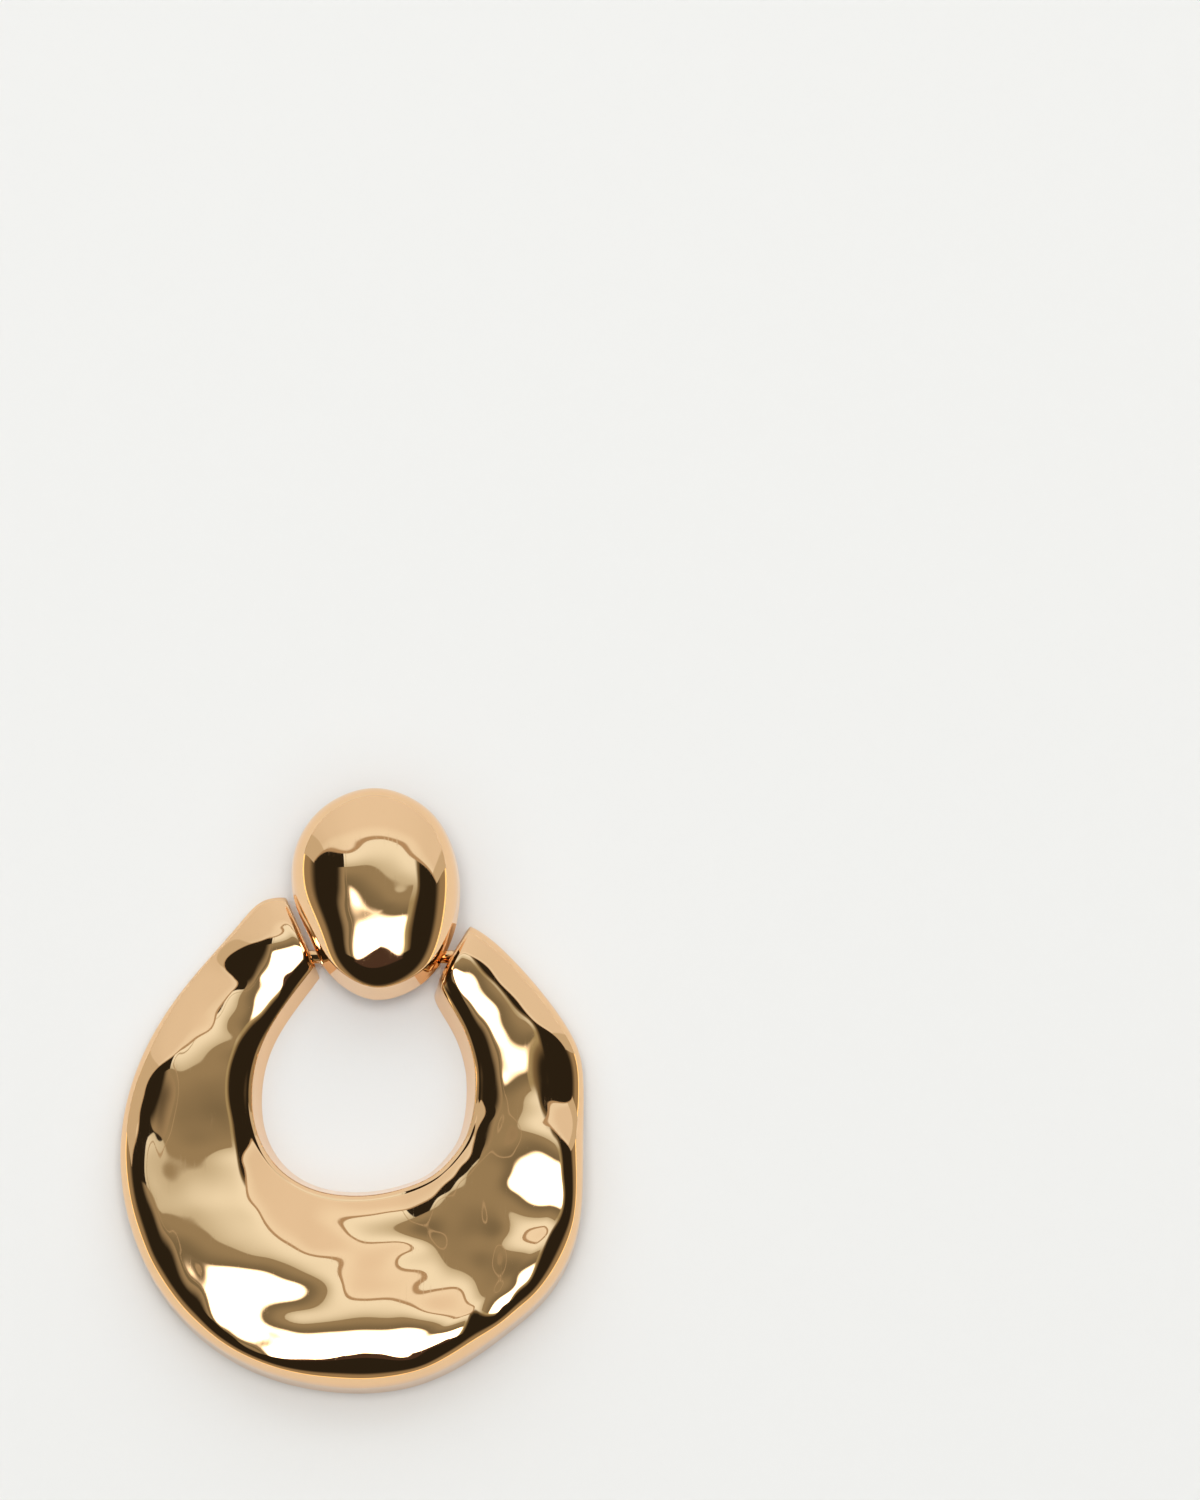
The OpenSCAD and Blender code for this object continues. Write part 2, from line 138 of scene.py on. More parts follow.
# What the face mirrors: read from enlargements of the picture, then adjusted against renders.
# Each row has a place in the picture, from its left and from its top in pixels, and the direction
# of what shows there, across and along, in degrees from straight up. Rows are grouped by what can
# be told there: the edge of a panel that lies along or across, a corner, the inside of a patch, the
# soft wall, or only a hint.
RING_MIRRORS = {
    "along": [
        (296, 942, 0, 10), (258, 984, -14, 10), (253, 1000, -5, 10), (265, 941, -25, 34.5),
        (250, 942, -36, 34.5), (238, 947, -46, 34.5), (233, 970, -50, 34.5), (243, 978, -36, 34.5),
        (252, 979, -24, 34), (288, 928, 0, 34.5), (298, 932, 3, 34.5), (222, 1022, -11, 34.5),
        (210, 1033, -12, 34.5), (198, 1041, -14, 34.5), (186, 1049, -17, 34.5), (190, 1067, -10, 25),
        (204, 1067, 0, 25), (218, 1070, 10, 25), (241, 1155, 14, 34.5), (245, 1178, 11, 34.5),
        (251, 1202, 9, 34.5), (258, 1218, 7, 34.5), (270, 1233, 5, 34.5), (292, 1246, 3, 34.5),
        (313, 1255, 0, 34.5), (330, 1269, -3, 34.5), (337, 1290, -5, 34.5), (326, 1308, -4, 34.5),
        (303, 1315, -4, 33), (345, 1306, -3, 34.5), (175, 1218, -15, 25), (190, 1226, -12, 25),
        (205, 1233, -8, 25), (222, 1243, -4, 25), (245, 1251, 0, 25), (262, 1254, 2, 25),
        (292, 1262, 0, 24), (218, 1263, -10, 10), (245, 1264, 0, 10), (228, 1264, 0, 10),
        (258, 1266, 0, 10), (277, 1273, 0, 10), (306, 1284, 0, 10), (292, 1291, 0, 11),
        (300, 1287, 0, 11), (270, 1293, 0, 10), (253, 1306, -3, 10), (264, 1316, 0, 10),
        (283, 1327, 0, 10), (302, 1333, 0, 10), (324, 1333, 0, 10), (345, 1329, 0, 10),
        (365, 1325, 0, 10), (249, 1340, -8, -13), (270, 1349, -4, -13), (292, 1354, 0, -13),
        (324, 1353, 0, -13), (345, 1352, 0, -13), (365, 1349, 0, -13), (365, 1216, 0, 34.5),
        (386, 1213, -2, 34.5), (408, 1208, -5, 34.5), (425, 1200, -8, 34.5), (440, 1191, -11, 34.5),
        (365, 1231, 0, 34.5), (397, 1232, -4, 34.5), (414, 1234, -6, 34.5), (427, 1244, -10, 34.5),
        (433, 1254, -12, 34.5), (448, 1269, -13, 34.5), (467, 1280, -14, 34.5), (477, 1294, -16, 34.5),
        (465, 1311, -15, 34), (365, 1301, -2, 34.5), (386, 1299, -2, 34.5), (408, 1303, -5, 34.5),
        (439, 1310, -10, 34.5), (461, 1199, -15, 25), (480, 1134, -32, 34.5), (470, 1137, -45, 34.5),
        (448, 1220, -14, 25), (448, 1236, -15, 25), (456, 1250, -15, 25), (467, 1263, -16, 25),
        (482, 1270, -18, 25), (395, 1313, -2, 25), (435, 1317, -6, 25), (515, 1148, -10, 10),
        (532, 1142, -5, 10), (548, 1147, 3, 10), (546, 1200, 5, 10), (527, 1198, -3, 10),
        (514, 1184, -12, 10), (530, 1221, 0, 34.5), (530, 1239, 0, 34.5), (530, 1211, 0, 25),
        (530, 1249, 0, 25), (535, 1257, 8, 10), (520, 1268, -8, 10), (508, 1296, -3, -13),
        (390, 1325, 0, 10), (415, 1324, -4, 10), (400, 1352, 0, -13), (418, 1352, -3, -13),
        (467, 971, 4, 10), (477, 980, 4, 10), (489, 996, 5, 10), (499, 1012, 6, 10), (505, 1028, 8, 10),
        (515, 1046, 10, 10), (518, 1060, 8, 10), (511, 1074, -4, 10), (463, 953, 0, 34.5),
        (503, 986, 12, 34.5), (521, 1006, 16, 34.5), (550, 1090, 38, 34.5), (562, 1100, 50, 34.5),
        (520, 1097, 0, 25), (520, 1128, -14, 25), (535, 1131, -2, 25), (548, 1137, 8, 25),
        (558, 1147, 15, 25), (545, 1027, 32, 34.5), (556, 1034, 45, 34.5),
    ],
    "across": [
        (272, 960, -16, 0), (264, 972, -16, 4), (304, 950, 16, 0), (300, 964, 16, -5),
        (286, 980, 16, -5), (270, 1002, 16, 2), (271, 952, -20, 13), (256, 968, -22, 13),
        (295, 975, 16, -5), (262, 1010, 16, 6), (172, 1085, -24, 18), (240, 1040, 20, 22),
        (233, 1056, 21, 20), (230, 1080, 21, 18), (232, 1106, 21, 18), (236, 1122, 21, 25),
        (165, 1100, -24, 18), (157, 1116, -24, 21), (147, 1130, -20.8, 26), (147, 1150, -20.8, 29),
        (148, 1170, -20.8, 31), (151, 1187, -20.8, 31), (158, 1202, -20.8, 29), (237, 1138, 20, 34.5),
        (210, 1284, -16, 4), (215, 1305, -16, -3), (222, 1319, -15.5, -9), (171, 1232, -24, 20),
        (181, 1250, -24, 15), (194, 1270, -16, 9), (206, 1290, -24, 3), (488, 1195, -17.8, 17),
        (491, 1176, -17.8, 20), (500, 1152, -17.8, 22), (513, 1133, -17.6, 24), (492, 1216, -17.8, 14),
        (500, 1235, -17.8, 12), (509, 1252, -17.7, 11), (505, 1270, -17.6, 9), (495, 1286, -17.5, 6),
        (502, 1166, -15, 8), (566, 1186, 16, 3), (505, 1284, -15, 5), (496, 1297, -15, -2),
        (532, 1268, 14, 3), (436, 1337, -15, -3), (455, 978, -16, 5), (460, 990, -16, 3),
        (473, 1002, -16, 3), (485, 1018, -16, 4), (497, 1036, -16, 5), (503, 1056, -16, 6),
        (466, 1000, -24, 8), (482, 1020, -24, 8), (493, 1040, -24, 10), (498, 1060, -24, 11),
        (478, 1024, -28, 8), (488, 1050, -27, 10), (500, 1080, -21, 15), (503, 1092, -24, 20),
        (500, 1110, -20.8, 25), (493, 1126, -20.8, 31), (537, 1050, 22, 20), (537, 1072, 22, 22),
        (537, 1088, 21.5, 30), (562, 1140, 21, 26),
    ],
    "both": [
        (250, 1018, 12, 10), (276, 940, -19, 33), (257, 982, -15, 5), (262, 972, -15, 5),
        (266, 976, -8, 3), (253, 1000, -14, 8), (262, 990, -4, 4), (284, 932, -6, 36),
        (276, 934, -14, 37), (244, 983, -17.5, 34.5), (239, 992, -10, 34.5), (233, 1007, -9, 34.5),
        (229, 998, -16, 40), (246, 995, -10, 29), (287, 1346, -1, -4), (300, 1347, 0, -5),
        (532, 1177, -3, 4), (520, 1171, -8, 4), (540, 1170, 0, 2), (174, 1058, -18.5, 34),
        (180, 1142, -8, 25), (200, 1148, 0, 25.5), (214, 1144, 8, 25.5), (175, 1165, -10, 28),
        (195, 1160, 0, 28), (248, 1150, 40, 42), (252, 1165, 38, 42), (258, 1176, 32, 44),
        (209, 1264, -16, 10), (296, 1296, 0, 15), (280, 1296, 0, 13), (232, 1327, -15, -10),
        (166, 1216, -18, 25), (440, 1292, -9, 44), (430, 1295, -8, 44), (448, 1284, -10, 43),
        (455, 1300, -11, 43), (462, 1292, -12, 41), (440, 1200, -12, 31), (452, 1205, -14, 26),
        (465, 1188, -15, 27), (478, 1170, -16, 25), (470, 1178, -15, 28), (486, 1144, -17, 34.5),
        (475, 1160, -16, 34.5), (460, 1176, -14, 34.5), (561, 1165, 14, 8), (563, 1202, 16, 7),
        (535, 1170, -2, 3), (527, 1170, -5, 3), (545, 1176, 4, 3), (520, 1168, -9, 5),
        (500, 1125, -12, 27), (500, 1140, -13, 27), (493, 1155, -13, 27), (484, 1168, -14, 27),
        (474, 1180, -14, 27), (462, 1145, -35, 42), (452, 1160, -35, 42), (440, 1175, -32, 43),
        (428, 1188, -28, 43), (470, 1155, -25, 42), (458, 1170, -25, 42), (445, 1183, -25, 42),
        (530, 1230, 0, 36), (524, 1280, 8, -10), (435, 1327, -12, 9), (458, 968, 0, 10),
        (535, 1022, 20, 34), (538, 1096, 20, 34.5), (545, 1110, 20, 34.5), (553, 1124, 20.5, 34.5),
        (558, 1131, 21, 34.5),
    ],
    "patch": [
        (228, 957, -57, 36), (240, 960, -48, 22), (255, 958, -36, 16), (265, 955, -27, 12),
        (210, 1004, -25, 44), (190, 1030, -28, 42), (222, 990, -28, 42), (250, 990, -14, 27),
        (245, 1003, -8, 25), (243, 1013, 0, 22), (225, 1040, 2, 32), (285, 960, 0, 0), (270, 985, 0, 3),
        (260, 1002, 5, 6), (228, 1038, 8, 29), (238, 1020, 10, 22), (195, 1055, -10, 29),
        (212, 1052, 0, 30), (215, 1040, 0, 31), (200, 1105, 0, 21), (186, 1100, -8, 20),
        (200, 1127, 0, 22), (213, 1115, 8, 21), (183, 1124, -9, 22), (210, 1092, 5, 20),
        (249, 1138, 48, 38), (253, 1150, 40, 40), (247, 1128, 50, 32), (175, 1190, -10, 32),
        (195, 1190, -4, 33), (215, 1200, 0, 33), (175, 1207, -10, 29), (186, 1185, -6, 30),
        (222, 1120, 12, 21), (217, 1097, 8, 20), (215, 1085, 5, 21), (224, 1090, 14, 20),
        (226, 1075, 14, 22), (228, 1105, 14, 19), (160, 1160, -14, 27), (215, 1160, 6, 29),
        (196, 1175, 0, 31), (250, 1172, 26, 43), (240, 1290, -4, 0), (285, 1280, 0, 6),
        (228, 1300, -9, -3), (245, 1325, -7, -5), (280, 1342, -2, -3), (310, 1344, 0, -3),
        (365, 1338, 0, -3), (415, 1338, -6, -3), (198, 1250, -13, 18), (200, 1265, -15, 12),
        (160, 1240, -27, 10), (178, 1268, -24, 5), (470, 1150, -30, 42), (450, 1172, -22, 42),
        (478, 1143, -28, 39), (495, 1135, -16, 31), (485, 1160, -16, 30), (472, 1175, -15, 30),
        (505, 1115, -14, 28), (510, 1105, -10, 28), (480, 1225, -15, 17), (465, 1225, -15, 19),
        (485, 1255, -15, 15), (470, 1205, -15, 20), (474, 1245, -15, 17), (462, 1194, -14, 27),
        (515, 1228, -8, 32), (546, 1228, 8, 32), (550, 1183, 6, 3), (518, 1176, -9, 6),
        (530, 1153, -3, 5), (545, 1160, 5, 4), (522, 1162, -9, 5), (538, 1190, 0, 5),
        (556, 1172, 11, 3), (555, 1192, 10, 5), (525, 1186, -6, 7), (552, 1105, 34, 39),
        (560, 1116, 42, 40), (547, 1095, 32, 38), (522, 1108, 0, 29), (532, 1115, 10, 31),
        (545, 1128, 16, 30), (515, 1086, 0, 17),
    ],
    "glow": [
        (330, 1222, 4, 42), (345, 1232, 2, 43), (420, 1205, -6, 41), (410, 1290, -4, 42),
        (375, 1290, -2, 42), (350, 1258, 0, 41), (347, 1270, -2, 41), (350, 1285, -3, 41),
        (405, 1262, -4, 42), (420, 1262, -6, 41), (430, 1270, -8, 41), (415, 1285, -5, 42),
        (395, 1290, -4, 41), (380, 1242, -2, 42), (390, 1252, -3, 42), (370, 1275, -2, 43),
        (341, 1245, 0, 43), (355, 1275, -2, 43), (400, 1250, -2, 42), (400, 1280, -4, 43),
        (425, 1275, -6, 42), (380, 1262, -2, 44), (300, 1225, 5, 44), (320, 1240, 3, 44),
        (365, 1200, 0, 45), (400, 1197, -4, 45), (430, 1185, -12, 44), (455, 1165, -20, 43),
        (475, 1140, -30, 42), (255, 1162, 28, 40), (262, 1190, 20, 44), (275, 1205, 14, 44),
        (290, 1215, 8, 44),
    ],
    "hint": [
        (200, 985, -40, 45), (242, 1080, 50, 15), (244, 1105, 50, 18), (258, 1030, 55, -5),
        (140, 1100, -50, 15), (138, 1160, -55, 15), (206, 1165, 0, 29), (196, 1199, -5, 32),
        (292, 1312, 0, 28), (166, 1252, -28, 0), (155, 1230, -45, 5), (188, 1290, -28, -14),
        (395, 1222, -4, 31), (418, 1218, -6, 29), (510, 1222, -14, 27), (550, 1228, 12, 27),
        (455, 1322, -30, 0), (480, 1318, -30, -15), (568, 1180, 40, 5), (560, 1225, 38, 5),
        (545, 1262, 30, -20), (520, 1296, 10, -35), (483, 1070, -55, 10), (470, 1030, -50, 5),
        (515, 980, 22, 44), (540, 1000, 30, 46), (550, 1060, 42, 18), (568, 1115, 58, 36),
    ],
}
# How far a reading is trusted, across and along
TRUST = {"along": (0.2, 1), "across": (1, 0.25), "both": (0.8, 0.8), "patch": (0.5, 0.5),
         "glow": (0.2, 0.6), "hint": (0.15, 0.15)}


def smooth_run(rows, steps, closed=False):
    """Runs a smooth curve through the rows of a table, with so many steps between two rows."""
    rows = np.array(rows, float)
    n = len(rows)
    made = []
    for k in range(n if closed else n - 1):
        near = [(k + d) % n if closed else min(max(k + d, 0), n - 1) for d in (-1, 0, 1, 2)]
        a, b, c, d = rows[near]
        for t in np.arange(steps) / steps:
            made.append(0.5 * (2 * b + (c - a) * t + (2 * a - 5 * b + 4 * c - d) * t ** 2
                               + (3 * b - a - 3 * c + d) * t ** 3))
    if not closed:
        made.append(rows[-1])
    return np.array(made)


def eased(rows, reach, closed=False):
    """Takes out the small kinks that a table leaves, as a planishing hammer does."""
    half = int(reach * EASE_TAIL)
    weight = np.exp(-0.5 * (np.arange(-half, half + 1) / reach) ** 2)
    weight /= weight.sum()
    if closed:
        long = np.concatenate([rows[-half:], rows, rows[:half]])
    else:
        before, after = 2 * rows[0] - rows[half:0:-1], 2 * rows[-1] - rows[-2:-half - 2:-1]
        long = np.concatenate([before, rows, after])
    return np.stack([np.convolve(c, weight, "valid") for c in long.T], axis=1)


def rim(w, l, angle):
    """The point of an ellipse's rim in a direction counted from straight down."""
    a = math.radians(angle)
    r = 1 / math.hypot(2 * math.sin(a) / w, 2 * math.cos(a) / l)
    return np.array([r * math.sin(a), -r * math.cos(a)])


def stud_edge():
    rows = smooth_run(STUD_OUTLINE, STUD_STEPS, closed=True)
    rows[:, :2] = rows[:, :2] * [stud_w / 2, stud_l / 2] + [stud_x, stud_y]
    return rows


def stud_side(side):
    """Where the end face of the ring crosses the hinge line, a gap away from the stud's edge."""
    low = stud_edge()
    high = np.roll(low, -1, axis=0)
    cross = (low[:, 1] - hinge_y) * (high[:, 1] - hinge_y) <= 0
    a, b = low[cross], high[cross]
    x = a[:, 0] + (b[:, 0] - a[:, 0]) * (hinge_y - a[:, 1]) / (b[:, 1] - a[:, 1])
    return side * (max(side * x) + end_gap)


end_x = {side: stud_side(side) for side in (-1, 1)}


def end_row(side, lean, high, low):
    t = side * math.tan(math.radians(lean))
    return np.array([end_x[side] - low * t, hinge_y - low,
                     end_x[side] + high * t, hinge_y + high, TIP_CREASE])


def end_distance(x, y):
    """How far a point lies from the nearer end face of the ring."""
    near = np.full_like(x, FAR)
    for side, lean, *_ in (LEFT_END, RIGHT_END):
        t = math.tan(math.radians(lean))
        away = (side * (x - end_x[side]) - t * (y - hinge_y)) / math.hypot(1, t)
        near = np.where(side * (x - stud_x) > 0, np.minimum(near, away), near)
    return np.maximum(near, 0)


def softened(place, share, crease, soft=SOFT_CREASE):
    """Rounds the crease over a wall a little: a short arc between the wall and the face."""
    low = np.array([crease[0] * (1 - soft / ARC_IN), crease[1] - soft / ARC_DOWN])
    high = np.array([place[0], share[0]])
    t = np.linspace(0, 1, ARC_POINTS)[:-1, None]
    arc = low * (1 - t) ** 2 + np.array(crease) * 2 * t * (1 - t) + high * t ** 2
    wall = low * (1 - (1 - t) ** 2)
    return np.concatenate([wall, arc]).T


def ring_section(row):
    """Places across the ring, and how much of the face's height each has: x, y, share."""
    foot, edge, crease = row[:2], row[2:4], row[4]
    width = np.linalg.norm(edge - foot)
    # half evenly spread, half crowded towards both sides, and finer still at the outer edge
    t = np.linspace(0, 1, RING_POINTS)
    t = 0.25 * (1 - np.cos(math.pi * t)) + 0.5 * t
    last = 1 - (1 - t[-EDGE_POINTS]) * np.linspace(1, 0, 2 * EDGE_POINTS) ** 2
    t = np.concatenate([t[:-EDGE_POINTS], last])
    s = sill_draft + SOFT_CREASE + (width - sill_draft - SOFT_CREASE) * t
    inner = 1 - np.clip(1 - (s - sill_draft) / IN_REACH, 0, 1) ** IN_BEND
    outer = np.clip(1 - (width - s) / OUT_REACH, 0, 1) ** OUT_BEND
    share = crease + (1 - crease) * inner
    share = share * (OUT_WALL + (1 - OUT_WALL) * np.sqrt((1 - outer).clip(0)))
    share += BEAD / ring_t * np.exp(-((s - sill_draft - 2 * BEAD_W) / BEAD_W) ** 2)
    wall, rise = softened(s, share, (sill_draft, crease))
    down = np.linspace(1, 0, SIDE_POINTS)[1:]
    s = np.concatenate([wall, s, np.full(SIDE_POINTS - 1, width)])
    share = np.concatenate([rise, share, OUT_WALL * down])
    x, y = (foot + (edge - foot) * s[:, None] / width).T
    ends = (1 - np.clip(1 - end_distance(x, y) / END_REACH, 0, 1) ** END_BEND) ** (1 / END_BEND)
    return np.stack([x, y, share * (END_WALL + (1 - END_WALL) * ends)], axis=1)


class Face:
    """The height of a planished face: a soft sheet of cubic patches over the plan."""

    def __init__(self, plan, cell):
        self.cell = cell
        self.low = plan.min(0) - 2 * cell
        self.count = (np.ceil((plan.max(0) - self.low) / cell) + 3).astype(int)
        self.clear()

    def clear(self):
        self.knots = np.zeros(self.count)
        self.pull = np.zeros((self.knots.size, self.knots.size))
        self.wish = np.zeros(self.knots.size)

    def patch(self, plan):
        """The knots that each place leans on, with their shares and how the shares change."""
        at = (plan - self.low) / self.cell
        first = np.floor(at).astype(int) - 1
        t = (at - first - 1)[:, :, None]
        share = np.concatenate([(1 - t) ** 3, 3 * t ** 3 - 6 * t ** 2 + 4,
                                -3 * t ** 3 + 3 * t ** 2 + 3 * t + 1, t ** 3], axis=2) / 6
        change = np.concatenate([-(1 - t) ** 2, 3 * t ** 2 - 4 * t, -3 * t ** 2 + 2 * t + 1, t ** 2],
                                axis=2) / (2 * self.cell)
        knot = first[:, :, None] + np.arange(4)
        knot = knot[:, 0, :, None] * self.count[1] + knot[:, 1, None, :]
        pair = [a[:, 0, :, None] * b[:, 1, None, :]
                for a, b in ((share, share), (change, share), (share, change))]
        return [v.reshape(len(plan), 16) for v in (knot, *pair)]

    def add(self, knot, share, value):
        """Adds rows to the sums that the solution balances, each a wish: shares of knots = value."""
        knot = knot.astype(int)
        np.add.at(self.pull, (knot[:, :, None], knot[:, None, :]),
                  share[:, :, None] * share[:, None, :])
        np.add.at(self.wish, knot, share * value[:, None])

    def stiffen(self, stiff):
        """Keeps second differences between neighbouring knots small, as a stiff sheet does."""
        index = np.arange(self.knots.size).reshape(self.count)
        for knots, shares in (((index[:-2], index[1:-1], index[2:]), (1, -2, 1)),
                              ((index[:, :-2], index[:, 1:-1], index[:, 2:]), (1, -2, 1)),
                              ((index[:-1, :-1], index[1:, :-1], index[:-1, 1:], index[1:, 1:]),
                               (TWIST, -TWIST, -TWIST, TWIST))):
            knot = np.stack([k.ravel() for k in knots], axis=1)
            share = np.tile(shares, (len(knot), 1)) * math.sqrt(stiff) / self.cell ** 2
            self.add(knot, share, np.zeros(len(knot)))

    def settle(self, level, rest=1e-7):
        """Solves the knots. Those that no wish reaches come to rest at the level."""
        self.pull += rest * np.eye(self.knots.size)
        self.knots = np.linalg.solve(self.pull, self.wish + rest * level)

    def height(self, plan):
        knot, share, *_ = self.patch(plan)
        return (self.knots.ravel()[knot.astype(int)] * share).sum(1)


def mirror_slope(across, along):
    """The slope of a mirror that shows the camera something in this direction."""
    ray = np.array([math.tan(math.radians(across)), math.tan(math.radians(along)), 1])
    lean = ray / np.linalg.norm(ray) + [0, -math.cos(look_down), math.sin(look_down)]
    return -lean[:2] / lean[2]


def planish(grid, faces, mirrors, heights, base, cell=1.6, stiff=0.012, hold=0.04):
    """Bends the face over a grid of x, y, share until it mirrors what the readings say.

    cell is the width of a patch, stiff what a bend costs, and hold how much the given heights
    count, which is little: they keep the level, and the readings make the form.
    """
    share = grid[..., 2]
    (xi, xj), (yi, yj), (si, sj) = (np.gradient(grid[..., k]) for k in range(3))
    area = xi * yj - xj * yi
    area = np.where(abs(area) < LEAST_AREA, LEAST_AREA, area)
    slope = np.stack([(si * yj - sj * yi) / area, (sj * xi - si * xj) / area], axis=-1)
    slope = slope[faces].reshape(-1, 2)
    spots = grid[faces].reshape(-1, 3)
    face = Face(grid[..., :2].reshape(-1, 2), cell)
    heights = np.array(heights)
    level = np.full(len(spots), heights[:, 2].mean())
    readings = np.array([((left - HOLE_PIXEL[0]) * MM_PER_PIXEL,
                          (HOLE_PIXEL[1] - top) * MM_PER_PIXEL,
                          *mirror_slope(across, along), *TRUST[kind])
                         for kind, rows in mirrors.items() for left, top, across, along in rows])
    for _ in range(ROUNDS):
        # where each spot shows in the picture, and the spot that is nearest to each reading
        along = spots[:, 1] * math.sin(look_down)
        along = along + (base + spots[:, 2] * level) * math.cos(look_down)
        k = np.array([((spots[:, 0] - a) ** 2 + (along - b) ** 2).argmin() for a, b in readings[:, :2]])
        knot, value, *change = face.patch(spots[k, :2])
        soft = 1 + STEEP * np.linalg.norm(slope[k], axis=1) * level.mean()
        face.clear()
        for axis in (0, 1):
            trust = readings[:, 4 + axis] / soft
            tilt = spots[k, 2:3] * change[axis] + slope[k, axis:axis + 1] * value
            face.add(knot, trust[:, None] * tilt, trust * readings[:, 2 + axis])
        knot, value, *_ = face.patch(heights[:, :2])
        face.add(knot, hold * value, hold * heights[:, 2])
        face.stiffen(stiff)
        face.settle(heights[:, 2].mean())
        level = face.height(spots[:, :2])
    return face.height(grid[..., :2].reshape(-1, 2)).reshape(share.shape)


def skin(name, rows, ends=None):
    """A closed mesh over loops of points: the first and last filled, or joined to each other."""
    rows = np.array(rows)
    n, m = rows.shape[:2]
    ends = (0, n - 1) if ends is None else ends
    i, j = np.meshgrid(np.arange(n - 1 if ends else n), np.arange(m), indexing="ij")
    a, b, up = i * m + j, i * m + (j + 1) % m, (i + 1) % n * m
    sides = np.stack([a, b, up + (j + 1) % m, up + j], axis=-1).reshape(-1, 4).tolist()
    mesh = bpy.data.meshes.new(name)
    mesh.from_pydata(((rows.reshape(-1, 3) + hole_middle) * MM).tolist(), [],
                     sides + [list(range(k * m, k * m + m)) for k in ends])
    mesh.shade_smooth()
    tidy = bmesh.new()
    tidy.from_mesh(mesh)
    bmesh.ops.recalc_face_normals(tidy, faces=tidy.faces)
    tidy.to_mesh(mesh)
    tidy.free()
    mesh.set_sharp_from_angle(angle=math.radians(SHARP))
    made = bpy.data.objects.new(name, mesh)
    bpy.context.scene.collection.objects.link(made)
    return made


table_rows = [[*(rim(hole_w, hole_l, a) * foot), *(rim(ring_w, ring_l, a) * edge), crease]
              for a, foot, edge, crease in RING_TABLE]
ring_rows = smooth_run([end_row(*LEFT_END), *table_rows, end_row(*RIGHT_END)], RING_STEPS)
ring_rows = eased(ring_rows, RING_EASE)
ring_grid = np.stack([ring_section(row) for row in ring_rows])
ring_heights = [(a * ring_w / 2, b * ring_l / 2, h * ring_t) for a, b, h in FACE_TABLE]
ring_face = planish(ring_grid, (slice(None), RING_FREE), RING_MIRRORS, ring_heights, 0)
ring_grid[..., 2] *= ring_face
back = np.linspace(1, 0, BACK_POINTS)[1:-1, None]
ring_back = [np.column_stack([row[:2] + (row[2:4] - row[:2]) * back, 0 * back])
             for row in ring_rows]
ring = skin("ring_body", np.concatenate([ring_grid, ring_back], axis=1))
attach(ring, "ring")
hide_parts("ring")


class Wire:
    """A shader socket that takes part in sums and products."""

    def __init__(self, paint, socket):
        self.paint, self.socket = paint, socket

    def other(self, key):
        """Another output of the same node."""
        return Wire(self.paint, self.socket.node.outputs[key])

    def _do(self, operation, a, b):
        return self.paint.node("ShaderNodeMath", {"operation": operation}, {0: a, 1: b})

    def __add__(self, b):
        return self._do("ADD", self, b)

    def __radd__(self, b):
        return self._do("ADD", b, self)

    def __sub__(self, b):
        return self._do("SUBTRACT", self, b)

    def __rsub__(self, b):
        return self._do("SUBTRACT", b, self)

    def __mul__(self, b):
        return self._do("MULTIPLY", self, b)

    def __truediv__(self, b):
        return self._do("DIVIDE", self, b)


class Paint:
    """The nodes of one material, or of the world."""

    def __init__(self, owner):
        self.owner = bpy.data.materials.new(owner) if isinstance(owner, str) else owner
        self.owner.use_nodes = True
        self.tree = self.owner.node_tree
        self.tree.nodes.clear()

    def node(self, kind, settings=None, values=None):
        """Makes a node. Values and wires are given by the input's name or number."""
        made = self.tree.nodes.new(kind)
        for key, value in (settings or {}).items():
            setattr(made, key, value)
        for key, value in (values or {}).items():
            if isinstance(value, Wire):
                self.tree.links.new(value.socket, made.inputs[key])
            else:
                made.inputs[key].default_value = value
        return Wire(self, made.outputs[0]) if made.outputs else None

    def finish(self, surface, end="ShaderNodeOutputMaterial"):
        self.node(end, {}, {"Surface": surface})
        return self.owner


# how fine the wear and the hammer's last trace are, how deep that trace is in metres, the two
# directions of the rubbed lines, their fineness along and across, and where in the noise they lie
WEAR_SCALE, HAMMER_SCALE, HAMMER_DEPTH = 160.0, 450.0, 0.00002
RUB_TURNS, RUB_SCALE, RUB_EDGE = (0.5, -0.9), (7000, 260, 260), (0.66, 0.76)


